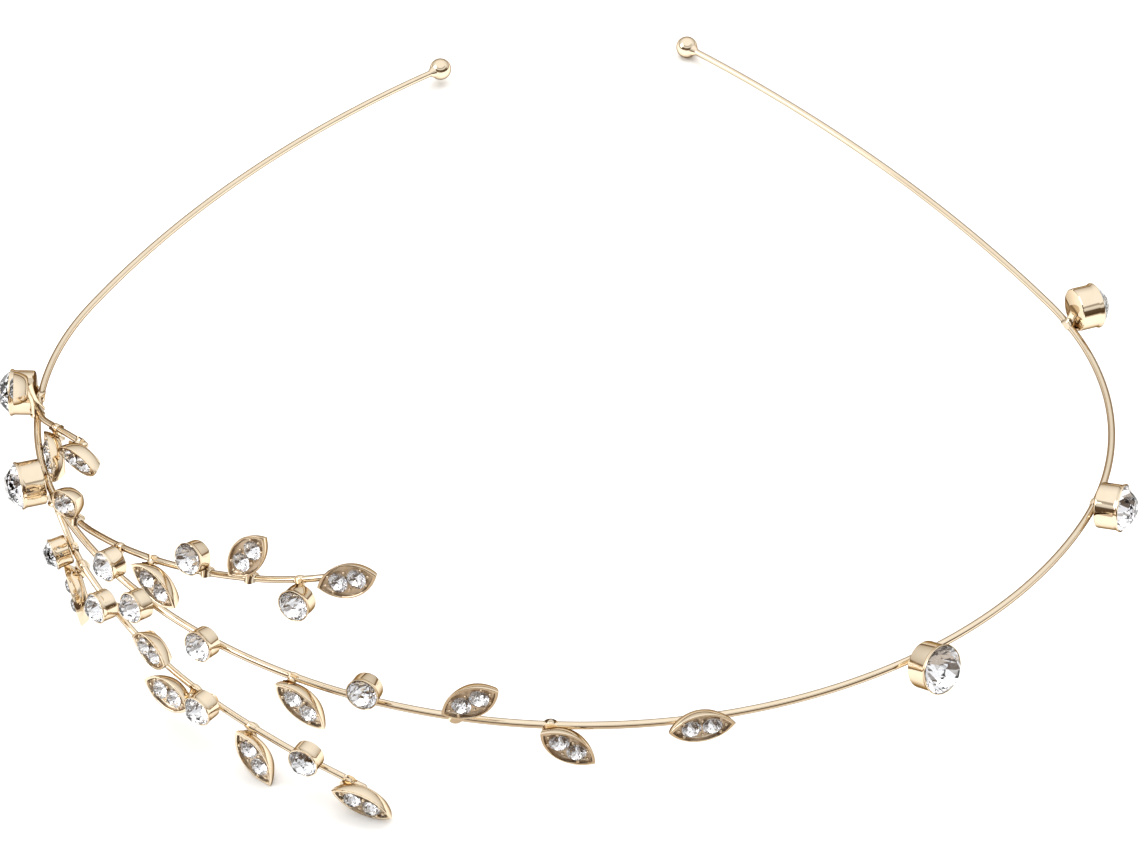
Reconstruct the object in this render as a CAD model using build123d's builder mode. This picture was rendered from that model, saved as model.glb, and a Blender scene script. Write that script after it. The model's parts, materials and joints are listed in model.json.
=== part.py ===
from build123d import *
from math import asin, cos, degrees, radians, sin, tan
import os

# A bridal tiara of the hair-vine kind: one sprung wire bent into a horseshoe, with sprays of
# small navette leaves and round crystals on its left side and larger crystals set round it.
# Millimetres. The pieces are drawn in the band's own frame: the band wire lies in the plane
# z = 0, its front middle is at the origin, +X points to the right and +Y to the open ends.
# The last section lays the finished tiara down as it rests on a table.

# Band wire
wire_radius = 0.45
crown_radius = 70.0
shoulder_radius = 49.0
left_crown_turn = 60.0
right_crown_turn = 62.0
left_shoulder_turn = 53.5
right_shoulder_turn = 55.0
left_leg_radius = 165.0
right_leg_radius = 240.0
left_leg_length = 74.0
right_leg_length = 78.0
spring_gap = 0.2            # cut in the wire where each leg's spring hinge stands

# Ball tips at the open ends
ball_radius = 1.55
ball_socket_depth = 1.4

# Sprays
spray_wire_radius = 0.4
head_radius = 75.0          # the sprays lean inward over a head this round
root_touch = 0.03           # solder film between two wires side by side

# Arms and sleeves that carry a setting on its wire
solder_film = 0.03
sleeve_wall = 0.3
sleeve_length = 1.7
arm_radius = 0.55
seat_clearance = 0.12       # from the wire's surface to the back of a setting

# Large round crystals and their cups
large_stone_radius = 2.72
large_stone_rise = 1.5
large_rim_wall = 0.22
large_rim_flare = 0.1
large_cup_depth = 3.0

# Small round crystals and their cups
small_stone_radius = 1.7
small_stone_rise = 1.0
small_rim_wall = 0.2
small_rim_flare = 0.06
small_cup_depth = 2.1

# Navette leaves, each holding two small crystals
leaf_stone_radius = 1.08
leaf_stone_rise = 0.6
leaf_stone_gap = 0.24
leaf_tip_length = 1.57      # from a stone to the leaf's tip
leaf_side_width = 0.92      # from a stone to the leaf's side
leaf_depth = 1.8
leaf_back_scale = 0.8
leaf_rim = 0.35
leaf_pocket = 0.55

# Where the large cups beside other pieces stand, and the roots of the sprays beside them
rear_setback = 5.29         # from the right rear cup to the end of the shoulder
left_rear_station = -98.8
left_side_station = -82.0
side_root_setback = 0.75    # from the edge of the left rear crystal to the root of the side spray
lower_root_setback = 0.88   # from the edge of the left side crystal to the root of the lower spray

# Shared by every cup and stone
cup_floor = 0.5
rim_height = 0.5
stone_clearance = 0.04
girdle_height = 0.15
stone_sides = 8
crown_taper = 38.0
pavilion_taper = 45.0

# How it lies on a table: on two leaves of the lower spray and one ball tip
rests_on = ("lower_leaf_4", "lower_leaf_5", "right_ball_tip")
rest_attempts = 6
mesh_tolerance = 0.02

os.makedirs("parts", exist_ok=True)
nodes = []


def keep(builder, label):
    builder.part.label = label
    nodes.append(builder.part)


# The band's line and the head

left_arcs = (
    (crown_radius, radians(left_crown_turn)),
    (shoulder_radius, radians(left_shoulder_turn)),
    (left_leg_radius, left_leg_length / left_leg_radius),
)
right_arcs = (
    (crown_radius, radians(right_crown_turn)),
    (shoulder_radius, radians(right_shoulder_turn)),
    (right_leg_radius, right_leg_length / right_leg_radius),
)


def band_plane(station):
    # The plane at a station: x along the wire to the right, y up, z outward from the head.
    # A station is a length along the wire from its front middle, negative to the left.
    side = 1 if station > 0 else -1
    arcs = right_arcs if station > 0 else left_arcs
    left_over = abs(station)
    heading = 0.0
    x = 0.0
    y = 0.0
    for radius, turn in arcs:
        step = min(left_over, radius * turn)
        turned = heading + step / radius
        x += radius * (sin(turned) - sin(heading))
        y += radius * (cos(heading) - cos(turned))
        heading = turned
        left_over -= step
    along = Vector(cos(heading), side * sin(heading), 0)
    outward = Vector(side * sin(heading), -cos(heading), 0)
    return Plane(origin=(side * x, y, 0), x_dir=along, z_dir=outward)


def head_plane(station, height, out=0.0):
    # The same plane moved up or down over the rounded head, and out from it.
    base = band_plane(station)
    lean = asin(height / head_radius)
    sag = head_radius * (1 - cos(lean))
    outward = base.z_dir * cos(lean) + Vector(0, 0, 1) * sin(lean)
    origin = base.origin - base.z_dir * sag + Vector(0, 0, height) + outward * out
    return Plane(origin=origin, x_dir=base.x_dir, z_dir=outward)


# Band wire, legs and ball tips

left_shoulder_end = radians(left_crown_turn) * crown_radius + radians(left_shoulder_turn) * shoulder_radius
right_shoulder_end = radians(right_crown_turn) * crown_radius + radians(right_shoulder_turn) * shoulder_radius
half_gap_turn = degrees(spring_gap / 2 / shoulder_radius)

with BuildPart() as crown_wire:
    with BuildLine() as crown_line:
        left_crown = JernArc((0, 0), (-1, 0), crown_radius, -left_crown_turn)
        JernArc(left_crown @ 1, left_crown % 1, shoulder_radius, half_gap_turn - left_shoulder_turn)
        right_crown = JernArc((0, 0), (1, 0), crown_radius, right_crown_turn)
        JernArc(right_crown @ 1, right_crown % 1, shoulder_radius, right_shoulder_turn - half_gap_turn)
    crown_route = crown_line.wire()
    with BuildSketch(Plane(origin=crown_route @ 0, z_dir=crown_route % 0)):
        Circle(wire_radius)
    sweep(path=crown_route)
keep(crown_wire, "crown_wire")


def leg(label, side, leg_radius, leg_length, shoulder_end):
    start = band_plane(side * (shoulder_end + spring_gap / 2))
    heading = start.x_dir * side
    turn = side * degrees((leg_length - spring_gap / 2) / leg_radius)
    with BuildPart() as leg_wire:
        with BuildLine() as leg_line:
            JernArc(start.origin, heading, leg_radius, turn)
        with BuildSketch(Plane(origin=start.origin, z_dir=heading)):
            Circle(wire_radius)
        sweep(path=leg_line.line)
    keep(leg_wire, label + "_leg_wire")
    return leg_line.line


def ball_tip(label, leg_edge):
    # The ball is drilled to take the end of the wire.
    seat = Plane(origin=leg_edge @ 1, z_dir=leg_edge % 1)
    centre = seat.offset(ball_radius - ball_socket_depth)
    with BuildPart(centre) as ball:
        Sphere(ball_radius)
        with BuildSketch(seat.offset(solder_film)):
            Circle(wire_radius + solder_film)
        extrude(amount=-2 * ball_radius, mode=Mode.SUBTRACT)
    keep(ball, label + "_ball_tip")


left_leg_edge = leg("left", -1, left_leg_radius, left_leg_length, left_shoulder_end)
right_leg_edge = leg("right", 1, right_leg_radius, right_leg_length, right_shoulder_end)
ball_tip("left", left_leg_edge)
ball_tip("right", right_leg_edge)


# Spray wires

def spray_wire(label, stops):
    # A wire bent through its stops, each bend as large as its two runs allow. Its root is
    # soldered along the band wire by a short sleeve.
    points = [head_plane(*stop).origin for stop in stops]
    radii = []
    for before, here, after in zip(points, points[1:], points[2:]):
        shorter_run = min((here - before).length, (after - here).length)
        half_turn = radians((here - before).get_angle(after - here)) / 2
        radii.append(0.45 * shorter_run / tan(half_turn))
    with BuildPart() as spray:
        with BuildLine() as spray_line:
            FilletPolyline(*points, radius=radii)
        route = spray_line.wire()
        with BuildSketch(Plane(origin=route @ 0, z_dir=route % 0)):
            Circle(spray_wire_radius)
        sweep(path=route)
        clasp(route @ 0, crown_route)
    keep(spray, label + "_wire")
    return route


def clasp(point, wire):
    # An arm from a point of the piece being built to the nearest point of a wire, a sleeve
    # round the wire there, and the bore that the wire passes through.
    core = wire_radius if wire is crown_route else spray_wire_radius
    foot = wire.closest_points(point)[0]
    along = wire.tangent_at(foot)
    reach = point - foot
    with BuildSketch(Plane(origin=foot, z_dir=reach)) as arm:
        Circle(arm_radius)
    extrude(arm.sketch, amount=reach.length)
    with BuildSketch(Plane(origin=foot, z_dir=along)) as sleeve:
        Circle(core + sleeve_wall)
    extrude(sleeve.sketch, amount=sleeve_length / 2, both=True)
    with BuildSketch(Plane(origin=foot, z_dir=along)) as bore:
        Circle(core + solder_film)
    extrude(bore.sketch, amount=sleeve_length, both=True, mode=Mode.SUBTRACT)


side_by_side = wire_radius + spray_wire_radius + root_touch
side_root = left_rear_station + large_stone_radius + side_root_setback
lower_root = left_side_station + large_stone_radius + lower_root_setback
upper_route = spray_wire("upper_spray", (
    (-75.5, side_by_side), (-69, 2.2), (-61, 4.6), (-53, 7.0),
    (-45, 9.5), (-37, 12.1), (-31, 14.3), (-26, 16.5),
))
lower_route = spray_wire("lower_spray", (
    (lower_root, -side_by_side), (-75.6, -2.4), (-72, -5.0), (-66, -6.5), (-58, -8.7),
    (-50, -10.3), (-42, -11.6), (-34, -13.3), (-28, -14.8), (-25.2, -15.8),
))
side_route = spray_wire("side_spray", (
    (side_root, side_by_side), (-92.8, 1.2, -0.7), (-90, 2.0, -2.2), (-86.6, 2.9, -3.8), (-83.4, 3.4, -5.2),
))


# Crystals

def gem(plane, radius, rise):
    # A cut stone on its girdle plane, added to the piece being built: the crown rises above
    # the plane and the pavilion tapers below it.
    with BuildSketch(plane) as top:
        RegularPolygon(radius, stone_sides)
    extrude(top.sketch, amount=rise, taper=crown_taper)
    extrude(top.sketch, amount=-girdle_height)
    with BuildSketch(plane.offset(-girdle_height)) as bottom:
        RegularPolygon(radius, stone_sides)
    extrude(bottom.sketch, amount=-radius / 2, taper=pavilion_taper)


def seat_radius(stone_radius, drop):
    # The size of a hole whose edge carries the stone's pavilion, a drop below the girdle.
    return stone_radius - (drop - girdle_height) * tan(radians(pavilion_taper)) + stone_clearance


# Round cups

def round_cup(label, route, station, height, sizes, out=0.0, pitch=0.0, swing=0.0):
    stone_radius, stone_rise, rim_wall, rim_flare, cup_depth = sizes
    rim_radius = stone_radius + stone_clearance + rim_wall
    cup_radius = rim_radius - rim_flare
    outward = out + wire_radius + seat_clearance
    back = head_plane(station, height, outward).moved(Rotation(pitch, swing, 0))
    rim = back.offset(cup_depth)
    ledge = rim_height + girdle_height
    with BuildPart() as cup:
        with BuildSketch(back):
            Circle(cup_radius)
        extrude(amount=cup_depth)
        with BuildSketch(rim.offset(-rim_height)):
            Circle(cup_radius)
        with BuildSketch(rim):
            Circle(rim_radius)
        loft()
        clasp(back.offset(cup_floor / 2).origin, route)
        with BuildSketch(rim):
            Circle(stone_radius + stone_clearance)
        extrude(amount=-ledge, mode=Mode.SUBTRACT)
        with BuildSketch(rim):
            Circle(seat_radius(stone_radius, ledge))
        extrude(amount=cup_floor - cup_depth, mode=Mode.SUBTRACT)
    keep(cup, label + "_cup")
    with BuildPart() as stone:
        gem(rim, stone_radius, stone_rise)
    keep(stone, label + "_crystal")


large_sizes = (large_stone_radius, large_stone_rise, large_rim_wall, large_rim_flare, large_cup_depth)
small_sizes = (small_stone_radius, small_stone_rise, small_rim_wall, small_rim_flare, small_cup_depth)

round_cup("right_rear", crown_route, right_shoulder_end - rear_setback, 2.2, large_sizes)
round_cup("right_side", crown_route, 79.8, 0.0, large_sizes, pitch=-8)
round_cup("right_front", crown_route, 42.4, -0.4, large_sizes, out=0.6, pitch=-20, swing=8)
round_cup("left_rear", crown_route, left_rear_station, 0.8, large_sizes)
round_cup("left_side", crown_route, left_side_station, 0.0, large_sizes)

round_cup("upper_1", upper_route, -60.0, 3.4, small_sizes)
round_cup("upper_2", upper_route, -46.0, 11.8, small_sizes, pitch=-8)
round_cup("upper_3", upper_route, -31.6, 12.0, small_sizes)
round_cup("main_1", crown_route, -55.3, 0.0, small_sizes, pitch=-8)
round_cup("main_2", crown_route, -44.5, 0.5, small_sizes, pitch=-8)
round_cup("main_3", crown_route, -23.2, 2.6, small_sizes, pitch=-8)
round_cup("lower_1", lower_route, -72.8, -3.6, small_sizes, out=0.1, pitch=6, swing=-6)
round_cup("lower_2", lower_route, -63.0, -5.2, small_sizes, pitch=-8)
round_cup("lower_3", lower_route, -46.0, -10.5, small_sizes, pitch=-8)
round_cup("lower_4", lower_route, -31.3, -11.2, small_sizes, pitch=-8)


# Navette leaves

def navette(length, width):
    with BuildLine() as outline:
        ThreePointArc((-length / 2, 0), (0, width / 2), (length / 2, 0))
        ThreePointArc((length / 2, 0), (0, -width / 2), (-length / 2, 0))
    make_face(outline.edges())


leaf_stones = {}
leaf_stone_spacing = 2 * leaf_stone_radius + leaf_stone_gap
leaf_length = leaf_stone_spacing + 2 * (leaf_stone_radius + leaf_tip_length)
leaf_width = 2 * (leaf_stone_radius + leaf_side_width)
inside_wire = -2 * wire_radius


def leaf(spray, number, route, station, height, turn, foot=-0.32, out=0.0, pitch=0.0, swing=0.0):
    # The foot is where the arm leaves the leaf's back, as a share of its length from its middle.
    outward = out + wire_radius + seat_clearance
    back = head_plane(station, height, outward).moved(Rotation(pitch, swing, turn))
    rim = back.offset(leaf_depth)
    rim_share = 2 * leaf_rim / leaf_width
    stone_spots = Locations((-leaf_stone_spacing / 2, 0), (leaf_stone_spacing / 2, 0))
    with BuildPart() as body:
        with BuildSketch(back):
            navette(leaf_length * leaf_back_scale, leaf_width * leaf_back_scale)
        with BuildSketch(rim):
            navette(leaf_length, leaf_width)
        loft()
        clasp(back.from_local_coords(Vector(foot * leaf_length, 0, cup_floor / 2)), route)
        with BuildSketch(rim):
            navette(leaf_length * (1 - rim_share), leaf_width * (1 - rim_share))
        extrude(amount=-leaf_pocket, mode=Mode.SUBTRACT)
        with BuildSketch(rim):
            with stone_spots:
                Circle(seat_radius(leaf_stone_radius, leaf_pocket - girdle_height))
        extrude(amount=cup_floor - leaf_depth, mode=Mode.SUBTRACT)
    keep(body, f"{spray}_leaf_{number}")
    girdle = rim.offset(-girdle_height)
    stones = leaf_stones.setdefault(spray, [])
    for spot in (-leaf_stone_spacing / 2, leaf_stone_spacing / 2):
        stones.append(Plane(girdle.from_local_coords(Vector(spot, 0, 0)), girdle.x_dir, girdle.z_dir))


leaf("upper", 1, upper_route, -69.6, 6.4, 40, pitch=12, swing=9)
leaf("upper", 2, upper_route, -51.5, 5.5, -17)
leaf("upper", 3, upper_route, -38.2, 15.6, 57)
leaf("upper", 4, upper_route, -25.5, 16.7, 26)
leaf("main", 1, crown_route, -31.0, -1.9, -37)
leaf("main", 2, crown_route, -11.1, 4.2, 33)
leaf("main", 3, crown_route, -0.4, -1.4, -36)
leaf("main", 4, crown_route, 14.3, 0.5, 2, foot=0)
leaf("lower", 1, lower_route, -69.7, -8.3, -47, pitch=4, swing=-18)
leaf("lower", 2, lower_route, -53.0, -5.5, 6, pitch=-7, swing=-11)
leaf("lower", 3, lower_route, -51.3, -11.5, 0, pitch=-18, out=0.2)
leaf("lower", 4, lower_route, -38.8, -15.0, -50, pitch=-15)
leaf("lower", 5, lower_route, -24.6, -15.9, -19, foot=0)
leaf("side", 1, side_route, -93.0, 5.9, 20, foot=0.05, out=0.3)
leaf("side", 2, side_route, -86.8, -0.3, -18, out=inside_wire - 2.4, pitch=-6, swing=2)
leaf("side", 3, side_route, -81.5, 3.5, 1, out=-5.6, pitch=17, swing=25)

for spray, places in leaf_stones.items():
    with BuildPart() as stones:
        for place in places:
            gem(place, leaf_stone_radius, leaf_stone_rise)
    keep(stones, spray + "_leaf_crystals")


# Laid down on a table

def lowest_corner(label, up):
    node = next(node for node in nodes if node.label == label)
    corners = node.tessellate(mesh_tolerance)[0]
    return min(corners, key=lambda corner: corner.dot(up))


table_up = Vector(0, 0, 1)
for attempt in range(rest_attempts):
    first, second, third = [lowest_corner(label, table_up) for label in rests_on]
    table_up = (second - first).cross(third - first).normalized()
table = Plane(origin=first, x_dir=Vector(1, 0, 0) - table_up * table_up.X, z_dir=table_up)
on_table = table.location.inverse()
box = Compound([node.moved(on_table) for node in nodes]).bounding_box()
middle = box.center()
place = Location((-middle.X, -middle.Y, -box.min.Z)) * on_table

for node in nodes:
    laid = node.moved(place)
    laid.label = node.label
    export_step(laid, f"parts/{node.label}.step")

for side, station in (("left", -left_shoulder_end), ("right", right_shoulder_end)):
    hinge = Plane(place * band_plane(station).location)
    print(side, "spring hinge at", hinge.origin, "axis", hinge.y_dir)
print("size", box.size, "band origin", place.position, place.orientation)
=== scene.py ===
import json
import math
import bpy
import bmesh
import numpy as np
from mathutils import Matrix, Vector


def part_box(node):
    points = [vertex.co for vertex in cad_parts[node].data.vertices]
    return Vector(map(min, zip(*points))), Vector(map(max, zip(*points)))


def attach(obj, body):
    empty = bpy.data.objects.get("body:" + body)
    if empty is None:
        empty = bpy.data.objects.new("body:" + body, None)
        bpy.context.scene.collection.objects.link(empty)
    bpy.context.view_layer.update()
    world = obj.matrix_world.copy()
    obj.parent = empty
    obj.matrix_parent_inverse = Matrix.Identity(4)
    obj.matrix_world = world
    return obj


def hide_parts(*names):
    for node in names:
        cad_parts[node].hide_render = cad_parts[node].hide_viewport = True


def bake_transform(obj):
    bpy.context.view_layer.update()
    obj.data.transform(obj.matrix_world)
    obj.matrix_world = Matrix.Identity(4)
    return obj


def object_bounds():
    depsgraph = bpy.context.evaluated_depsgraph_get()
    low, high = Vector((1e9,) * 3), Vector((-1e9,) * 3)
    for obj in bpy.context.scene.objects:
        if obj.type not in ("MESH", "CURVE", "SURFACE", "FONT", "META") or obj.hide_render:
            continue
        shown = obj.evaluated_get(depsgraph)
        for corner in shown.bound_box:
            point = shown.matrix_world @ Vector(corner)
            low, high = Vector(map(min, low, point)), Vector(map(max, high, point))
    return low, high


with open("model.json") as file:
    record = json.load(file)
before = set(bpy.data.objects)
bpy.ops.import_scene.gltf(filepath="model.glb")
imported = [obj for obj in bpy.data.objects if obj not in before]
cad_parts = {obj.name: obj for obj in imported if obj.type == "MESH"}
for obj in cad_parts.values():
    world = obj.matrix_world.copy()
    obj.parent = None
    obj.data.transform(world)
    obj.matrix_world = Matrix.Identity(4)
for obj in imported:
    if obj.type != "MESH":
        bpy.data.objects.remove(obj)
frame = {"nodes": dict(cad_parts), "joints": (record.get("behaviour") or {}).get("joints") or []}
cadLow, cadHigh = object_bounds()
mm = 0.001


# The band's line. The same driving sizes as the CAD source, in millimetres and degrees.
band = {
    "wireRadius": 0.45, "crownRadius": 70.0, "shoulderRadius": 49.0, "headRadius": 75.0,
    "left": {"crownTurn": 60.0, "shoulderTurn": 53.5, "legRadius": 165.0, "legLength": 74.0},
    "right": {"crownTurn": 62.0, "shoulderTurn": 55.0, "legRadius": 240.0, "legLength": 78.0},
    "flexLength": 24.0,     # a stretch of wire round each spring hinge; its ends are worked out but not used
    "middle": 1e-6,         # each half starts just on its own side of the middle
}


def sideName(side):
    return "right" if side > 0 else "left"


def sideArcs(side):
    half = band[sideName(side)]
    return (
        (band["crownRadius"], math.radians(half["crownTurn"])),
        (band["shoulderRadius"], math.radians(half["shoulderTurn"])),
        (half["legRadius"], half["legLength"] / half["legRadius"]),
    )


def shoulderEnd(side):
    return sum(radius * turn for radius, turn in sideArcs(side)[:2])


def wireEnd(side):
    return sum(radius * turn for radius, turn in sideArcs(side))


def bandPlace(station):
    # point, direction along the wire to the right, direction out from the head
    side = 1 if station > 0 else -1
    leftOver = abs(station)
    heading = 0.0
    x = 0.0
    y = 0.0
    for radius, turn in sideArcs(side):
        step = min(leftOver, radius * turn)
        turned = heading + step / radius
        x += radius * (math.sin(turned) - math.sin(heading))
        y += radius * (math.cos(heading) - math.cos(turned))
        heading = turned
        leftOver -= step
    along = Vector((math.cos(heading), side * math.sin(heading), 0))
    outward = Vector((side * math.sin(heading), -math.cos(heading), 0))
    return Vector((side * x, y, 0)), along, outward


def headPoint(station, height, out=0.0):
    point, along, outward = bandPlace(station)
    lean = math.asin(height / band["headRadius"])
    sag = band["headRadius"] * (1 - math.cos(lean))
    leaned = outward * math.cos(lean) + Vector((0, 0, 1)) * math.sin(lean)
    return point - outward * sag + Vector((0, 0, height)) + leaned * out


def basis(first, up):
    side = first.normalized()
    other = up.cross(side).normalized()
    return Matrix((side, other, up)).transposed()


def findLay():
    # where the band's plane lies in the frame, from the two spring hinges that stand on it
    hinges = {joint["child"]: joint for joint in frame["joints"]}
    left = Vector(hinges["left_leg"]["pos_m"])
    right = Vector(hinges["right_leg"]["pos_m"])
    up = Vector(hinges["left_leg"]["axis"]).normalized()
    drawnLeft = bandPlace(-shoulderEnd(-1))[0]
    drawnRight = bandPlace(shoulderEnd(1))[0]
    turn = basis(right - left, up) @ basis(drawnRight - drawnLeft, Vector((0, 0, 1))).transposed()
    return turn, left - turn @ drawnLeft * mm


layTurn, layMove = findLay()


def lay(point):
    return layTurn @ point * mm + layMove


# Mesh helpers
def addRings(bm, rings, closed=True, slot=0):
    # skins a row of equal rings, and caps both ends when closed
    rows = [[bm.verts.new(point) for point in ring] for ring in rings]
    faces = []
    for low, high in zip(rows, rows[1:]):
        for k in range(len(low)):
            nxt = (k + 1) % len(low)
            faces.append(bm.faces.new((low[k], low[nxt], high[nxt], high[k])))
    if closed:
        faces.append(bm.faces.new(list(reversed(rows[0]))))
        faces.append(bm.faces.new(rows[-1]))
    for face in faces:
        face.material_index = slot
        face.smooth = True
    return rows


def turnedFrame(axis):
    axis = axis.normalized()
    hint = Vector((0, 0, 1)) if abs(axis.z) < 0.9 else Vector((1, 0, 0))
    across = hint.cross(axis).normalized()
    return across, axis.cross(across)


def circleRing(centre, across, other, radius, sides):
    steps = [2 * math.pi * k / sides for k in range(sides)]
    return [centre + (across * math.cos(a) + other * math.sin(a)) * radius for a in steps]


def addLathe(bm, centre, axis, profile, sides):
    # profile is a list of (radius, height along the axis)
    across, other = turnedFrame(axis)
    rings = [circleRing(centre + axis * height, across, other, radius, sides) for radius, height in profile]
    addRings(bm, rings)


def addBall(bm, centre, radius, sides=20, stretch=1.0, axis=Vector((0, 0, 1))):
    # a lathed ball, with its poles cut off by a hair
    cut = 0.02
    rows = sides // 2
    profile = []
    for k in range(rows + 1):
        lean = math.pi * (cut + (1 - 2 * cut) * k / rows)
        profile.append((radius * math.sin(lean), -radius * stretch * math.cos(lean)))
    addLathe(bm, centre, axis, profile, sides)


def addTube(bm, points, radius, sides):
    # a swept round section that doesn't twist
    directions = []
    for k in range(len(points)):
        before = points[max(k - 1, 0)]
        after = points[min(k + 1, len(points) - 1)]
        directions.append((after - before).normalized())
    across, other = turnedFrame(directions[0])
    rings = []
    for point, direction in zip(points, directions):
        across = (across - direction * across.dot(direction)).normalized()
        other = direction.cross(across)
        rings.append(circleRing(point, across, other, radius, sides))
    addRings(bm, rings)


def finishPiece(name, bm, materials, body, stands, sharp=40.0):
    # edges that turn by more than sharp degrees stay crisp
    bm.normal_update()
    for edge in bm.edges:
        if len(edge.link_faces) == 2 and edge.calc_face_angle() > math.radians(sharp):
            edge.smooth = False
    mesh = bpy.data.meshes.new(name)
    bm.to_mesh(mesh)
    bm.free()
    for material in materials:
        mesh.materials.append(material)
    piece = bpy.data.objects.new(name, mesh)
    bpy.context.scene.collection.objects.link(piece)
    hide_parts(*stands)
    if body:
        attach(piece, body)
    return piece


def pieceName(node, ending=""):
    words = node.split("_")
    return words[0] + "".join(word.capitalize() for word in words[1:]) + ending


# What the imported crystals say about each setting
finding = {
    "weldGrid": 1e6,        # corners are welded on a grid of this many steps to the metre
    "levelDepth": 0.05,     # how near to the top or bottom a corner counts as on it, in millimetres
    "girdleShare": 0.97,    # corners beyond this share of the radius are on the girdle
    "leafReach": 1.3,       # a stone goes to the leaf with most corners this near to it, in millimetres
}


def weldedParts(node):
    # the separate solids of a CAD node, each as its distinct corner points
    mesh = frame["nodes"][node].data
    places = {}
    index = []
    for vertex in mesh.vertices:
        key = tuple(round(value * finding["weldGrid"]) for value in vertex.co)
        index.append(places.setdefault(key, len(places)))
    points = np.array([np.array(key) * (1 / finding["weldGrid"]) for key in places])
    parent = list(range(len(points)))

    def root(k):
        while parent[k] != k:
            parent[k] = parent[parent[k]]
            k = parent[k]
        return k

    for polygon in mesh.polygons:
        first = root(index[polygon.vertices[0]])
        for corner in polygon.vertices:
            parent[root(index[corner])] = first
    groups = {}
    for k in range(len(points)):
        groups.setdefault(root(k), []).append(k)
    return [points[group] for group in groups.values()]


def stonePlace(points):
    # middle of the girdle, the way the crown points, a girdle corner's direction, and the radius
    centre = points.mean(axis=0)
    values, vectors = np.linalg.eigh(np.cov((points - centre).T))
    axis = vectors[:, 0]
    heights = (points - centre) @ axis
    flat = points - centre - np.outer(heights, axis)
    reach = np.linalg.norm(flat, axis=1)
    near = finding["levelDepth"] * mm
    top = reach[heights > heights.max() - near].mean()
    bottom = reach[heights < heights.min() + near].mean()
    if bottom > top:
        axis = -axis
        heights = -heights
    girdle = reach > reach.max() * finding["girdleShare"]
    level = heights[girdle].max()
    corner = flat[np.argmax(reach)]
    return {
        "centre": Vector(centre + axis * level), "axis": Vector(axis).normalized(),
        "corner": Vector(corner).normalized(), "radius": float(reach.max()),
        "rise": float(heights.max() - level),
    }


cupNodes = sorted(node for node in frame["nodes"] if node.endswith("_cup"))
leafNodes = sorted(node for node in frame["nodes"] if "_leaf_" in node and "crystals" not in node)
cupStones = {}
for node in cupNodes:
    cupStones[node] = stonePlace(weldedParts(node.replace("_cup", "_crystal"))[0])

leafStones = {node: [] for node in leafNodes}
leafReach = finding["leafReach"] * mm
for group in sorted(node for node in frame["nodes"] if node.endswith("_leaf_crystals")):
    spray = group.split("_")[0]
    own = [node for node in leafNodes if node.startswith(spray)]
    clouds = {node: np.array([vertex.co for vertex in frame["nodes"][node].data.vertices]) for node in own}
    for part in weldedParts(group):
        place = stonePlace(part)
        centre = np.array(place["centre"])
        nearby = {node: (np.linalg.norm(clouds[node] - centre, axis=1) < leafReach).sum() for node in own}
        leafStones[max(nearby, key=nearby.get)].append(place)
print("settings found:", len(cupStones), "cups,", sum(map(len, leafStones.values())), "leaf stones")


# Materials
def newMaterial(name):
    material = bpy.data.materials.new(name)
    material.use_nodes = True
    tree = material.node_tree
    return material, tree, tree.nodes["Principled BSDF"]


def newGroup(name, inputs, outputs):
    group = bpy.data.node_groups.new(name, "ShaderNodeTree")
    for socketName, kind, value in inputs:
        socket = group.interface.new_socket(socketName, in_out="INPUT", socket_type=kind)
        socket.default_value = value
    for socketName, kind in outputs:
        group.interface.new_socket(socketName, in_out="OUTPUT", socket_type=kind)
    return group, group.nodes.new("NodeGroupInput"), group.nodes.new("NodeGroupOutput")


def placeGroup(tree, group, values):
    node = tree.nodes.new("ShaderNodeGroup")
    node.node_tree = group
    for socketName, value in values.items():
        node.inputs[socketName].default_value = value
    return node


def mapRange(tree, value, low, high):
    node = tree.nodes.new("ShaderNodeMapRange")
    tree.links.new(value, node.inputs["Value"])
    for socketName, limit in (("To Min", low), ("To Max", high)):
        if isinstance(limit, (int, float)):
            node.inputs[socketName].default_value = limit
        else:
            tree.links.new(limit, node.inputs[socketName])
    return node.outputs["Result"]


platingNoises = {
    "cloud": {"Scale": 260.0, "Detail": 3.0}, "haze": {"Scale": 1500.0, "Detail": 4.0},
    "wave": {"Detail": 1.5}, "grain": {"Detail": 2.0},
}


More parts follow.
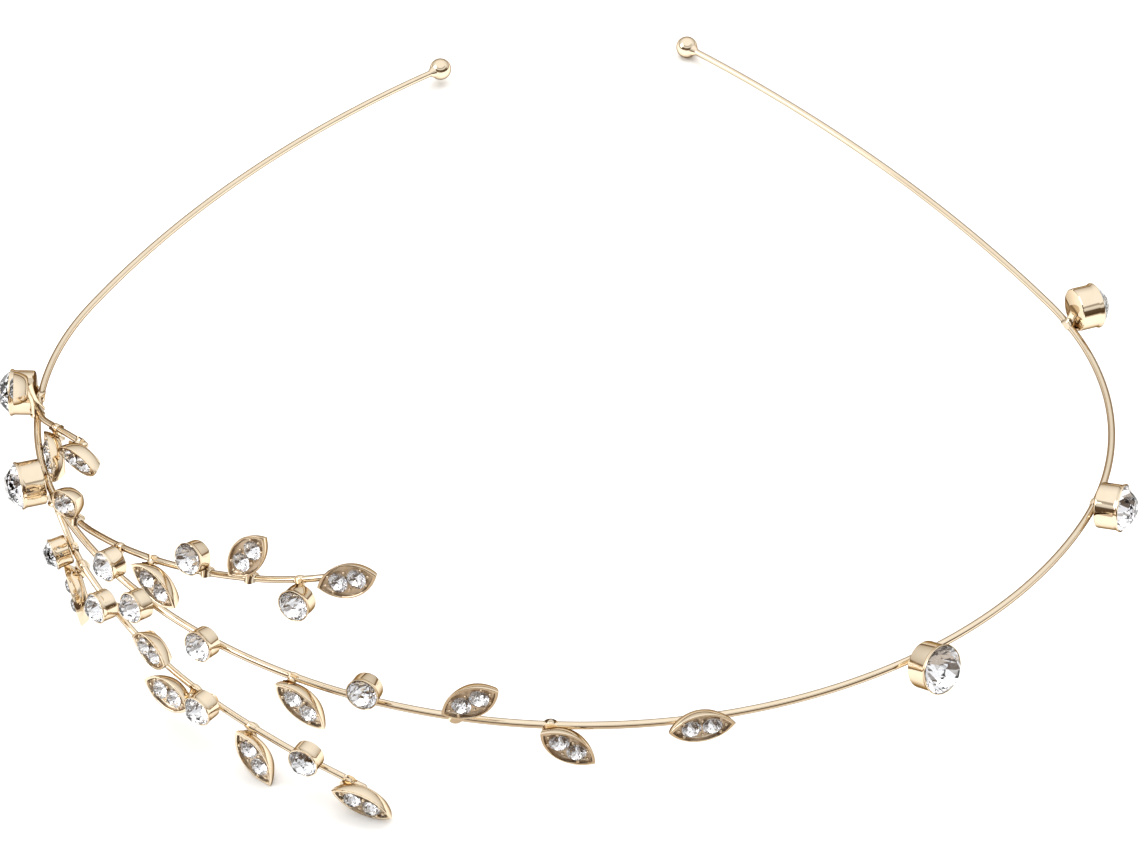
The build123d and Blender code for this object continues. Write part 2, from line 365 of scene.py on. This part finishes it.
def platingGroup():
    # polished plating: cloudy tone, streaks of haze, and the faint waves left by casting and tumbling
    group, given, made = newGroup("platedSurface", [
        ("Bright", "NodeSocketColor", (0.9, 0.75, 0.5, 1)), ("Deep", "NodeSocketColor", (0.8, 0.6, 0.35, 1)),
        ("Smooth", "NodeSocketFloat", 0.05), ("Hazy", "NodeSocketFloat", 0.15),
        ("Waves", "NodeSocketFloat", 0.05), ("Wave Scale", "NodeSocketFloat", 900.0),
        ("Grain", "NodeSocketFloat", 0.02), ("Grain Scale", "NodeSocketFloat", 9000.0),
    ], [("Color", "NodeSocketColor"), ("Roughness", "NodeSocketFloat"), ("Height", "NodeSocketFloat")])
    place = group.nodes.new("ShaderNodeTexCoord").outputs["Object"]
    noises = {}
    for noiseName, values in platingNoises.items():
        noise = group.nodes.new("ShaderNodeTexNoise")
        group.links.new(place, noise.inputs["Vector"])
        for socketName, value in values.items():
            noise.inputs[socketName].default_value = value
        noises[noiseName] = noise
    group.links.new(given.outputs["Wave Scale"], noises["wave"].inputs["Scale"])
    group.links.new(given.outputs["Grain Scale"], noises["grain"].inputs["Scale"])
    tone = group.nodes.new("ShaderNodeMix")
    tone.data_type = "RGBA"
    group.links.new(noises["cloud"].outputs["Fac"], tone.inputs["Factor"])
    group.links.new(given.outputs["Bright"], tone.inputs["A"])
    group.links.new(given.outputs["Deep"], tone.inputs["B"])
    group.links.new(tone.outputs["Result"], made.inputs["Color"])
    rough = mapRange(group, noises["haze"].outputs["Fac"], given.outputs["Smooth"], given.outputs["Hazy"])
    group.links.new(rough, made.inputs["Roughness"])
    parts = []
    for noiseName, amount in (("wave", "Waves"), ("grain", "Grain")):
        scaled = group.nodes.new("ShaderNodeMath")
        scaled.operation = "MULTIPLY"
        group.links.new(noises[noiseName].outputs["Fac"], scaled.inputs[0])
        group.links.new(given.outputs[amount], scaled.inputs[1])
        parts.append(scaled)
    both = group.nodes.new("ShaderNodeMath")
    group.links.new(parts[0].outputs[0], both.inputs[0])
    group.links.new(parts[1].outputs[0], both.inputs[1])
    group.links.new(both.outputs[0], made.inputs["Height"])
    return group


def mottleGroup():
    # a cloudy mix of two near tones, and the cloud itself
    group, given, made = newGroup("mottledTone", [
        ("First", "NodeSocketColor", (1.0, 1.0, 1.0, 1)), ("Second", "NodeSocketColor", (0.9, 0.9, 0.9, 1)),
        ("Scale", "NodeSocketFloat", 600.0),
    ], [("Color", "NodeSocketColor"), ("Cloud", "NodeSocketFloat")])
    noise = group.nodes.new("ShaderNodeTexNoise")
    group.links.new(given.outputs["Scale"], noise.inputs["Scale"])
    tone = group.nodes.new("ShaderNodeMix")
    tone.data_type = "RGBA"
    group.links.new(noise.outputs["Fac"], tone.inputs["Factor"])
    group.links.new(given.outputs["First"], tone.inputs["A"])
    group.links.new(given.outputs["Second"], tone.inputs["B"])
    group.links.new(tone.outputs["Result"], made.inputs["Color"])
    group.links.new(noise.outputs["Fac"], made.inputs["Cloud"])
    return group


plating = platingGroup()
mottle = mottleGroup()

# Painted reflection: the outline of a piece is painted dark brown at grazing angles. It stands in for the
# mirror of what lies behind the piece, which is darker than the tent.
paintedRimShade = {"facing": 0.5, "shade": (0.20, 0.12, 0.06, 1), "glance": (0.35, 0.25, 0.16, 1)}
bumpDepth = 0.05


def goldMaterial(name, look):
    material, tree, shader = newMaterial(name)
    surface = placeGroup(tree, plating, look["surface"])
    bump = tree.nodes.new("ShaderNodeBump")
    bump.inputs["Strength"].default_value = look["bump"]
    bump.inputs["Distance"].default_value = bumpDepth * mm
    # painted dark rim: where the surface turns away from the view, the base colour is mixed toward a dark
    # brown, and the specular tint is a dark brown too
    edge = tree.nodes.new("ShaderNodeLayerWeight")
    edge.inputs["Blend"].default_value = paintedRimShade["facing"]
    turned = mapRange(tree, edge.outputs["Facing"], 0.0, look["edge"])
    turned.node.inputs["From Min"].default_value = look["edgeFrom"]
    turned.node.inputs["From Max"].default_value = look["edgeTo"]
    paintedRimColor = tree.nodes.new("ShaderNodeMix")
    paintedRimColor.data_type = "RGBA"
    tree.links.new(turned, paintedRimColor.inputs["Factor"])
    tree.links.new(surface.outputs["Color"], paintedRimColor.inputs["A"])
    paintedRimColor.inputs["B"].default_value = paintedRimShade["shade"]
    tree.links.new(paintedRimColor.outputs["Result"], shader.inputs["Base Color"])
    shader.inputs["Specular Tint"].default_value = paintedRimShade["glance"]
    tree.links.new(surface.outputs["Roughness"], shader.inputs["Roughness"])
    tree.links.new(surface.outputs["Height"], bump.inputs["Height"])
    tree.links.new(bump.outputs["Normal"], shader.inputs["Normal"])
    shader.inputs["Metallic"].default_value = 1.0
    return material


# edge and the two limits after it set the painted dark rim: how far it goes toward the dark brown, and over
# which facing it comes in
goldLooks = {
    "wireGold": {"bump": 0.2, "edge": 0.8, "edgeFrom": 0.42, "edgeTo": 0.60, "surface": {
        "Bright": (0.91, 0.79, 0.61, 1), "Deep": (0.82, 0.68, 0.50, 1), "Smooth": 0.04, "Hazy": 0.10,
        "Waves": 0.05, "Wave Scale": 500.0, "Grain": 0.03, "Grain Scale": 7000.0}},
    "castGold": {"bump": 0.35, "edge": 0.8, "edgeFrom": 0.55, "edgeTo": 0.80, "surface": {
        "Bright": (0.93, 0.81, 0.63, 1), "Deep": (0.84, 0.69, 0.50, 1), "Smooth": 0.03, "Hazy": 0.09,
        "Waves": 0.25, "Wave Scale": 700.0, "Grain": 0.02, "Grain Scale": 8000.0}},
    "pocketGold": {"bump": 0.5, "edge": 0.3, "edgeFrom": 0.6, "edgeTo": 0.9, "surface": {
        "Bright": (0.96, 0.86, 0.72, 1), "Deep": (0.84, 0.70, 0.54, 1), "Smooth": 0.28, "Hazy": 0.45,
        "Waves": 0.9, "Wave Scale": 2600.0, "Grain": 0.4, "Grain Scale": 9000.0}},
}
gold = {name: goldMaterial(name, look) for name, look in goldLooks.items()}


crystalLook = {
    "ior": 1.58, "smooth": 0.0, "hazy": 0.02,
    "mottle": {"First": (1.0, 1.0, 1.0, 1), "Second": (0.95, 0.96, 0.98, 1), "Scale": 600.0},
}
foilLook = {
    "smooth": 0.01, "hazy": 0.06,
    "mottle": {"First": (0.97, 0.97, 0.98, 1), "Second": (0.86, 0.86, 0.88, 1), "Scale": 900.0},
}


def crystalMaterial():
    material, tree, shader = newMaterial("cutCrystal")
    surface = placeGroup(tree, mottle, crystalLook["mottle"])
    shader.inputs["Transmission Weight"].default_value = 1.0
    shader.inputs["IOR"].default_value = crystalLook["ior"]
    tree.links.new(surface.outputs["Color"], shader.inputs["Base Color"])
    rough = mapRange(tree, surface.outputs["Cloud"], crystalLook["smooth"], crystalLook["hazy"])
    tree.links.new(rough, shader.inputs["Roughness"])
    return material


def foilMaterial():
    # the silvered back of a rhinestone, a little mottled where the foil was laid on
    material, tree, shader = newMaterial("stoneFoil")
    surface = placeGroup(tree, mottle, foilLook["mottle"])
    tree.links.new(surface.outputs["Color"], shader.inputs["Base Color"])
    rough = mapRange(tree, surface.outputs["Cloud"], foilLook["smooth"], foilLook["hazy"])
    tree.links.new(rough, shader.inputs["Roughness"])
    shader.inputs["Metallic"].default_value = 1.0
    return material


crystal = crystalMaterial()
foil = foilMaterial()
print("materials made")


# Wires
wireLook = {
    "step": 0.8, "sides": 28, "spraySides": 24, "sprayRadius": 0.4,
    "filletSteps": 6, "filletShare": 0.45,
}

# (station along the band, height above it, and how far out from the head)
sprayStops = {
    "upper_spray": (
        (-75.5, 0.88), (-69, 2.2), (-61, 4.6), (-53, 7.0),
        (-45, 9.5), (-37, 12.1), (-31, 14.3), (-26, 16.5)),
    "lower_spray": (
        (-78.4, -0.88), (-75.6, -2.4), (-72, -5.0), (-66, -6.5), (-58, -8.7),
        (-50, -10.3), (-42, -11.6), (-34, -13.3), (-28, -14.8), (-25.2, -15.8)),
    "side_spray": (
        (-95.33, 0.88), (-92.8, 1.2, -0.7), (-90, 2.0, -2.2), (-86.6, 2.9, -3.8), (-83.4, 3.4, -5.2)),
}


def roundedRoute(stops):
    # each corner is an arc that takes a share of the shorter of its two runs
    points = [lay(headPoint(*stop)) for stop in stops]
    route = [points[0]]
    for before, here, after in zip(points, points[1:], points[2:]):
        take = wireLook["filletShare"] * min((here - before).length, (after - here).length)
        start = here + (before - here).normalized() * take
        end = here + (after - here).normalized() * take
        weight = math.cos((here - before).angle(after - here) / 2)
        for k in range(wireLook["filletSteps"] + 1):
            t = k / wireLook["filletSteps"]
            share = ((1 - t) ** 2, 2 * t * (1 - t) * weight, t ** 2)
            route.append((start * share[0] + here * share[1] + end * share[2]) / sum(share))
    route.append(points[-1])
    return route


def bandRoute(start, end):
    count = round(abs(end - start) / wireLook["step"])
    return [lay(bandPlace(start + (end - start) * k / count)[0]) for k in range(count + 1)]


routes = {name: roundedRoute(stops) for name, stops in sprayStops.items()}
routes["main"] = bandRoute(-shoulderEnd(-1), shoulderEnd(1))


def makeBandHalf(side):
    label = sideName(side)
    points = bandRoute(side * band["middle"], side * wireEnd(side))
    bm = bmesh.new()
    addTube(bm, points, band["wireRadius"] * mm, wireLook["sides"])
    stands = ["crown_wire", label + "_leg_wire"]
    piece = finishPiece(label + "BandWire", bm, [gold["wireGold"]], None, stands)
    hinge = shoulderEnd(side)
    flex = band["flexLength"] / 2
    start = lay(bandPlace(side * (hinge - flex))[0])
    end = lay(bandPlace(side * (hinge + flex))[0])
    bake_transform(piece)


ballLook = {
    "radius": 1.55, "sides": 48, "collarRadius": 0.72, "collarSides": 32, "collarGap": 0.12,
    "wireFlare": 1.25, "collarFlare": 1.2, "collarHeights": (-0.3, -0.12, 0.1, 0.4),
}


def makeBallTip(side):
    node = sideName(side) + "_ball_tip"
    low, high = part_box(node)
    centre = (low + high) / 2
    end = lay(bandPlace(side * wireEnd(side))[0])
    before = lay(bandPlace(side * (wireEnd(side) - 1))[0])
    direction = (end - before).normalized()
    bm = bmesh.new()
    addBall(bm, centre, ballLook["radius"] * mm, ballLook["sides"], 1.0, direction)
    collar = ballLook["collarRadius"] * mm
    rear = -(ballLook["radius"] + ballLook["collarGap"]) * mm
    wire = band["wireRadius"] * mm
    radii = (wire, wire * ballLook["wireFlare"], collar, collar * ballLook["collarFlare"])
    profile = [(radius, rear + height * mm) for radius, height in zip(radii, ballLook["collarHeights"])]
    addLathe(bm, centre, direction, profile, ballLook["collarSides"])
    finishPiece(pieceName(node), bm, [gold["castGold"]], sideName(side) + "_leg", [node])


def makeSprayWire(name):
    points = routes[name]
    radius = wireLook["sprayRadius"] * mm
    bm = bmesh.new()
    addTube(bm, points, radius, wireLook["spraySides"])
    addBall(bm, points[-1], radius)
    addSolder(bm, points[0], "main")
    finishPiece(pieceName(name, "Wire"), bm, [gold["wireGold"]], "crown", [name + "_wire"])


# Solder joints
solderLook = {
    "radius": 0.54, "length": 0.9, "sides": 24,
    "shortestArm": 0.2, "armRadius": 0.50, "armFlare": 0.95, "armSteps": 10, "armWaist": 2.2,
}


def nearestOnRoute(point, name):
    route = routes[name]
    best = None
    for k, (start, end) in enumerate(zip(route, route[1:])):
        run = end - start
        t = max(0.0, min(1.0, (point - start).dot(run) / run.length_squared))
        foot = start + run * t
        if best is None or (foot - point).length < best[0]:
            best = ((foot - point).length, foot, run.normalized())
    return best[1], best[2]


def addSolder(bm, point, name, size=1.0):
    # a bead of solder round the wire, and a waisted arm from it to the point
    foot, along = nearestOnRoute(point, name)
    bead = solderLook["radius"] * size * mm
    addBall(bm, foot, bead, solderLook["sides"], solderLook["length"] / solderLook["radius"], along)
    reach = point - foot
    if reach.length < solderLook["shortestArm"] * mm:
        return
    waist = solderLook["armRadius"] * size * mm
    flare = solderLook["armFlare"] * size * mm
    profile = []
    for k in range(solderLook["armSteps"] + 1):
        t = k / solderLook["armSteps"]
        radius = waist + (flare - waist) * abs(2 * t - 1) ** solderLook["armWaist"]
        profile.append((radius, reach.length * t))
    addLathe(bm, foot, reach.normalized(), profile, solderLook["sides"])


# Round cups
cupLook = {
    "large": {"depth": 3.0, "rimRadius": 2.98, "flare": 0.16, "solder": 1.15},
    "small": {"depth": 2.1, "rimRadius": 1.94, "flare": 0.10, "solder": 0.95},
    "lip": 0.12, "backRound": 0.3, "floor": 0.35, "seatGap": 0.02, "sides": 72, "sharp": 30.0,
    "backSink": 0.25,       # how deep the solder arm ends in the back
    "largeFrom": 2.2,       # stones of a larger radius sit in the large cup
}


def cupSizes(stone):
    return cupLook["large"] if stone["radius"] > cupLook["largeFrom"] * mm else cupLook["small"]


def routeOf(node):
    spray = node.split("_")[0]
    return spray + "_spray" if spray + "_spray" in routes and node[len(spray)] == "_" else "main"


def makeCup(node, stone):
    sizes = cupSizes(stone)
    rim = sizes["rimRadius"]
    wall = rim - sizes["flare"]
    depth = sizes["depth"]
    lip = cupLook["lip"]
    back = cupLook["backRound"]
    seat = stone["radius"] * stoneLook["spread"] / mm + cupLook["seatGap"]
    floor = cupLook["floor"] - depth
    # from the middle of the back, up the wall, over the lip and down to the floor under the stone
    profile = [
        (0.05, -depth), (wall - back, -depth), (wall - back * 0.45, -depth + back * 0.08),
        (wall - back * 0.1, -depth + back * 0.4), (wall, -depth + back), (wall, -0.6), (wall + 0.01, -0.45),
        (rim - 0.03, -lip * 1.6), (rim, -lip), (rim, -lip * 0.4), (rim - 0.03, 0.02), (seat + 0.03, 0.04),
        (seat, 0.02), (seat, -0.25), (seat - 0.3, -0.5), (seat - 0.35, floor), (0.05, floor),
    ]
    bm = bmesh.new()
    addLathe(bm, stone["centre"], stone["axis"], [(r * mm, h * mm) for r, h in profile], cupLook["sides"])
    foot = stone["centre"] - stone["axis"] * (depth - cupLook["backSink"]) * mm
    addSolder(bm, foot, routeOf(node), sizes["solder"])
    finishPiece(pieceName(node), bm, [gold["castGold"]], "crown", [node], cupLook["sharp"])


# Cut stones
stoneLook = {
    # shares of the girdle's radius
    "table": 0.46, "star": 0.76, "depth": 0.86, "girdle": 0.05, "lower": 0.34,
    "spread": 1.04,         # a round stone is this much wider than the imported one
    "sharp": 1.0,           # every facet's edge stays crisp
}


def addStone(bm, stone, spread):
    # crown: table, eight stars, eight kites, sixteen upper halves. Back: eight mains, sixteen lower halves.
    radius = stone["radius"] * spread
    rise = stone["rise"]
    middle = stone["centre"]
    across = stone["corner"]
    other = stone["axis"].cross(across)

    def corner(eighth, share, height):
        turn = math.pi / 4 * eighth
        flat = across * math.cos(turn) + other * math.sin(turn)
        return bm.verts.new(middle + flat * radius * share + stone["axis"] * height)

    half = math.cos(math.pi / 8)
    starHeight = rise * (1 - stoneLook["star"] * half) / (1 - stoneLook["table"])
    deep = stoneLook["depth"] * radius
    girdle = stoneLook["girdle"] * radius
    lowerHeight = -girdle - deep * (1 - stoneLook["lower"] * half)
    table = [corner(k, stoneLook["table"], rise) for k in range(8)]
    stars = [corner(k + 0.5, stoneLook["star"], starHeight) for k in range(8)]
    top = [corner(k / 2, 1, 0) for k in range(16)]
    low = [corner(k / 2, 1, -girdle) for k in range(16)]
    lower = [corner(k + 0.5, stoneLook["lower"], lowerHeight) for k in range(8)]
    culet = corner(0, 0, -girdle - deep)
    glass = [table]
    silver = []
    for k in range(8):
        nxt = (k + 1) % 8
        ahead = (2 * k + 1) % 16
        far = (2 * k + 2) % 16
        glass.append((table[k], stars[k], table[nxt]))
        glass.append((table[k], stars[k - 1], top[2 * k], stars[k]))
        glass.append((stars[k], top[2 * k], top[ahead]))
        glass.append((stars[k], top[ahead], top[far]))
        silver.append((culet, lower[k], low[2 * k], lower[k - 1]))
        silver.append((lower[k], low[ahead], low[2 * k]))
        silver.append((lower[k], low[far], low[ahead]))
    for k in range(16):
        nxt = (k + 1) % 16
        glass.append((top[k], low[k], low[nxt], top[nxt]))
    for corners, slot in [(c, 0) for c in glass] + [(c, 1) for c in silver]:
        face = bm.faces.new(corners)
        face.material_index = slot
        face.smooth = False


def makeStones(name, stones, stands, spread):
    bm = bmesh.new()
    for stone in stones:
        addStone(bm, stone, spread)
    bmesh.ops.recalc_face_normals(bm, faces=bm.faces)
    finishPiece(name, bm, [crystal, foil], "crown", stands, stoneLook["sharp"])


# Navette leaves
leafLook = {
    "length": 7.7, "width": 4.0, "depth": 1.8, "rim": 0.24, "pocket": 0.55, "girdleDrop": 0.15,
    "outlineSteps": 22, "weld": 0.002, "sharp": 32.0,
    "footShare": 0.32, "footSink": 0.25,    # where along the leaf its solder arm can end, and how deep
    "beadRadius": 0.2, "beadSides": 14, "beadDrop": 0.15,
    "tipBead": 2.72, "sideBead": 1.0, "shoulderBead": (2.1, 0.92),
    "stoneSpread": 1.07,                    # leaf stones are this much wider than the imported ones
    "holeSides": 24, "holes": ((0.76, 0.0), (0.46, -0.33), (0.15, -0.68)),
}


def navetteOutline(scale, place):
    # two arcs through the tips; place turns (x, y) into a point
    a = leafLook["length"] / 2 * scale
    b = leafLook["width"] / 2 * scale
    arcRadius = (a * a + b * b) / (2 * b)
    reach = math.asin(a / arcRadius)
    points = []
    steps = leafLook["outlineSteps"]
    for side in (1, -1):
        for k in range(steps):
            turn = reach * (1 - 2 * k / steps) * side
            across = side * (arcRadius * math.cos(turn) - arcRadius + b)
            points.append(place(arcRadius * math.sin(turn), across))
    return points


def addPocketFloor(bm, border, centres, along, across, up):
    # the floor of a leaf's pocket, with a cone sunk in it for the back of each stone
    drop = (leafLook["pocket"] - leafLook["girdleDrop"]) * mm
    edges = [bm.edges.get((border[k - 1], border[k])) for k in range(len(border))]
    for centre in centres:
        rings = []
        for radius, height in leafLook["holes"]:
            ringCentre = centre + up * (height * mm - drop)
            rings.append(circleRing(ringCentre, along, across, radius * mm, leafLook["holeSides"]))
        rows = addRings(bm, rings, closed=False, slot=1)
        bm.faces.new(rows[-1]).material_index = 1
        edges += [bm.edges.get((rows[0][k - 1], rows[0][k])) for k in range(len(rows[0]))]
    filled = bmesh.ops.triangle_fill(bm, use_beauty=True, use_dissolve=False, edges=edges)
    for face in filled["geom"]:
        if isinstance(face, bmesh.types.BMFace):
            face.material_index = 1


def makeLeaf(node, stones):
    first, second = stones
    along = (second["centre"] - first["centre"]).normalized()
    up = (first["axis"] + second["axis"]).normalized()
    along = (along - up * along.dot(up)).normalized()
    across = up.cross(along)
    rim = (first["centre"] + second["centre"]) / 2 + up * leafLook["girdleDrop"] * mm

    def level(height):
        return lambda x, y: rim + (along * x + across * y + up * height) * mm

    depth = leafLook["depth"]
    pocket = leafLook["pocket"]
    inner = 1 - 2 * leafLook["rim"] / leafLook["width"]
    # (share of the outline, height), from the middle of the back to the rim and into the pocket
    wall = [
        (0.02, -depth), (0.55, -depth), (0.66, -depth + 0.05), (0.75, -depth + 0.2), (0.83, -1.3),
        (0.90, -1.0), (0.95, -0.7), (0.985, -0.4), (1.0, -0.2), (1.0, -0.08), (0.992, -0.02),
        (0.975, 0.0), (inner + 0.03, 0.0), (inner + 0.01, -0.03),
    ]
    hollow = [(inner, -0.1), (inner - 0.02, -pocket + 0.08), (inner - 0.06, -pocket)]
    bm = bmesh.new()
    outside = [navetteOutline(scale, level(height)) for scale, height in wall + hollow[:1]]
    addRings(bm, outside, closed=False)
    inside = [navetteOutline(scale, level(height)) for scale, height in hollow]
    rows = addRings(bm, inside, closed=False, slot=1)
    addPocketFloor(bm, rows[-1], (first["centre"], second["centre"]), along, across, up)
    bmesh.ops.remove_doubles(bm, verts=bm.verts, dist=leafLook["weld"] * mm)
    bmesh.ops.recalc_face_normals(bm, faces=bm.faces)
    bead = leafLook["beadRadius"] * mm
    tip = leafLook["tipBead"]
    side = leafLook["sideBead"]
    shoulder, shoulderSide = leafLook["shoulderBead"]
    spots = [(tip, 0), (-tip, 0), (0, side), (0, -side)]
    spots += [(x * shoulder, y * shoulderSide) for x in (-1, 1) for y in (-1, 1)]
    for x, y in spots:
        addBall(bm, level(-leafLook["beadDrop"])(x, y), bead, leafLook["beadSides"])
    back = level(-depth + leafLook["footSink"])
    feet = [back(leafLook["footShare"] * leafLook["length"] * end, 0) for end in (-1, 0, 1)]
    route = routeOf(node)
    gaps = [(nearestOnRoute(foot, route)[0] - foot).length for foot in feet]
    addSolder(bm, feet[gaps.index(min(gaps))], route)
    golds = [gold["castGold"], gold["pocketGold"]]
    finishPiece(pieceName(node), bm, golds, "crown", [node], leafLook["sharp"])


# The object
for side in (-1, 1):
    makeBandHalf(side)
    makeBallTip(side)
for name in sprayStops:
    makeSprayWire(name)
print("wires made")
for node, stone in cupStones.items():
    makeCup(node, stone)
    crystalNode = node.replace("_cup", "_crystal")
    makeStones(pieceName(crystalNode), [stone], [crystalNode], stoneLook["spread"])
print("cups and crystals made")
for node, stones in leafStones.items():
    makeLeaf(node, stones)
    group = node.split("_")[0] + "_leaf_crystals"
    makeStones(pieceName(node, "Crystals"), stones, [group], leafLook["stoneSpread"])
print("leaves made")


# Floor, light and camera
studio = {
    "floorSize": 4.0, "floorRoughness": 0.9, "cameraSky": 1.0,
    "floorMottle": {"First": (0.93, 0.93, 0.92, 1), "Second": (0.9207, 0.9207, 0.9108, 1), "Scale": 40.0},
    # painted reflection: where the floor turns dark brown for glossy rays only, and that brown
    "tableEdge": (-0.088, -0.080), "tableShade": (0.42, 0.35, 0.28, 1),
    "softboxes": {
        "topSoftbox": {"spot": (0.0, 0.15, 0.8), "size": (0.9, 0.7), "energy": 5.0, "mirrored": False},
        "leftSoftbox": {"spot": (-0.7, -0.1, 0.4), "size": (0.5, 0.5), "energy": 2.0, "mirrored": True},
    },
    # the tent's walls: where the front one gives way to the back one, and (height, shade) up each
    "frontEnds": -0.25, "backStarts": 0.1,
    "frontWall": (
        (0.0, (0.08, 0.05, 0.03)), (0.40, (0.13, 0.09, 0.06)),
        (0.46, (0.74, 0.74, 0.74)), (0.62, (1.0, 1.0, 1.0)),
        (0.65, (0.45, 0.42, 0.39)), (0.74, (0.45, 0.42, 0.39)), (0.77, (1.12, 1.12, 1.12)),
    ),
    "backWall": (
        (0.0, (0.30, 0.22, 0.15)), (0.07, (0.22, 0.15, 0.09)),
        (0.12, (0.66, 0.62, 0.57)), (0.40, (0.90, 0.90, 0.90)),
        (0.75, (1.12, 1.12, 1.12)),
    ),
}


def makeFloor():
    # pale to the eye; for glossy rays only, the floor just in front of the tiara is painted a darker brown,
    # a painted reflection of a darker table in the gold
    bm = bmesh.new()
    half = studio["floorSize"] / 2
    corners = [bm.verts.new((x * half, y * half, cadLow.z)) for x, y in ((-1, -1), (1, -1), (1, 1), (-1, 1))]
    bm.faces.new(corners)
    mesh = bpy.data.meshes.new("floor")
    bm.to_mesh(mesh)
    bm.free()
    material, tree, shader = newMaterial("paperFloor")
    surface = placeGroup(tree, mottle, studio["floorMottle"])
    place = tree.nodes.new("ShaderNodeSeparateXYZ")
    tree.links.new(tree.nodes.new("ShaderNodeTexCoord").outputs["Object"], place.inputs[0])
    front = mapRange(tree, place.outputs["Y"], 1.0, 0.0)
    front.node.inputs["From Min"].default_value = studio["tableEdge"][0]
    front.node.inputs["From Max"].default_value = studio["tableEdge"][1]
    # painted reflection: glossy rays see the floor in front of the tiara in a darker brown
    mirrored = tree.nodes.new("ShaderNodeMath")
    mirrored.operation = "MULTIPLY"
    tree.links.new(front, mirrored.inputs[0])
    tree.links.new(tree.nodes.new("ShaderNodeLightPath").outputs["Is Glossy Ray"], mirrored.inputs[1])
    darker = tree.nodes.new("ShaderNodeMix")
    darker.data_type = "RGBA"
    tree.links.new(mirrored.outputs[0], darker.inputs["Factor"])
    tree.links.new(surface.outputs["Color"], darker.inputs["A"])
    darker.inputs["B"].default_value = studio["tableShade"]
    tree.links.new(darker.outputs["Result"], shader.inputs["Base Color"])
    shader.inputs["Roughness"].default_value = studio["floorRoughness"]
    mesh.materials.append(material)
    floor = bpy.data.objects.new("floor", mesh)
    bpy.context.scene.collection.objects.link(floor)


def makeWorld():
    # a white tent, open at the front, where the dark room shows above the table's edge
    world = bpy.data.worlds.new("tent")
    world.use_nodes = True
    bpy.context.scene.world = world
    tree = world.node_tree
    background = tree.nodes["Background"]
    split = tree.nodes.new("ShaderNodeSeparateXYZ")
    tree.links.new(tree.nodes.new("ShaderNodeTexCoord").outputs["Generated"], split.inputs[0])
    walls = []
    for stops in (studio["frontWall"], studio["backWall"]):
        wall = tree.nodes.new("ShaderNodeValToRGB")
        ramp = wall.color_ramp
        while len(ramp.elements) < len(stops):
            ramp.elements.new(1.0)
        for element, (height, shade) in zip(ramp.elements, stops):
            element.position = height
            element.color = shade + (1,)
        tree.links.new(split.outputs["Z"], wall.inputs[0])
        walls.append(wall)
    behind = mapRange(tree, split.outputs["Y"], 0.0, 1.0)
    behind.node.inputs["From Min"].default_value = studio["frontEnds"]
    behind.node.inputs["From Max"].default_value = studio["backStarts"]
    bands = tree.nodes.new("ShaderNodeMix")
    bands.data_type = "RGBA"
    tree.links.new(behind, bands.inputs["Factor"])
    tree.links.new(walls[0].outputs["Color"], bands.inputs["A"])
    tree.links.new(walls[1].outputs["Color"], bands.inputs["B"])
    path = tree.nodes.new("ShaderNodeLightPath")
    seen = tree.nodes.new("ShaderNodeMix")
    seen.data_type = "RGBA"
    tree.links.new(path.outputs["Is Camera Ray"], seen.inputs["Factor"])
    tree.links.new(bands.outputs["Result"], seen.inputs["A"])
    seen.inputs["B"].default_value = (studio["cameraSky"],) * 3 + (1,)
    tree.links.new(seen.outputs["Result"], background.inputs["Color"])


def makeSoftbox(name, look):
    lamp = bpy.data.lights.new(name, "AREA")
    lamp.shape = "RECTANGLE"
    lamp.size, lamp.size_y = look["size"]
    lamp.energy = look["energy"]
    holder = bpy.data.objects.new(name, lamp)
    holder.location = look["spot"]
    holder.visible_glossy = look["mirrored"]
    aim = Vector((0, 0, 0)) - Vector(look["spot"])
    holder.rotation_euler = aim.to_track_quat("-Z", "Y").to_euler()
    bpy.context.scene.collection.objects.link(holder)


cameraLook = {
    "azimuth": 0.109, "elevation": 44.68, "roll": 0.658, "distance": 0.4231, "lens": 109.32,
    "aimSide": 0.00088, "aimDepth": -0.02366, "sensor": 36.0, "nearest": 0.01, "farthest": 50.0,
}


def makeCamera():
    aim = (cadLow + cadHigh) / 2 + Vector((cameraLook["aimSide"], cameraLook["aimDepth"], 0))
    turn = math.radians(cameraLook["azimuth"])
    rise = math.radians(cameraLook["elevation"])
    look = Vector((math.sin(turn) * math.cos(rise), math.cos(turn) * math.cos(rise), -math.sin(rise)))
    lens = bpy.data.cameras.new("camera")
    lens.lens = cameraLook["lens"]
    lens.sensor_width = cameraLook["sensor"]
    lens.clip_start = cameraLook["nearest"]
    lens.clip_end = cameraLook["farthest"]
    camera = bpy.data.objects.new("camera", lens)
    camera.location = aim - look * cameraLook["distance"]
    level = look.to_track_quat("-Z", "Y").to_matrix()
    camera.rotation_euler = (level @ Matrix.Rotation(math.radians(cameraLook["roll"]), 3, "Z")).to_euler()
    bpy.context.scene.collection.objects.link(camera)
    bpy.context.scene.camera = camera


makeFloor()
makeWorld()
for name, look in studio["softboxes"].items():
    makeSoftbox(name, look)
makeCamera()
bpy.context.scene.view_settings.view_transform = "Standard"
print("stage, light and camera made")
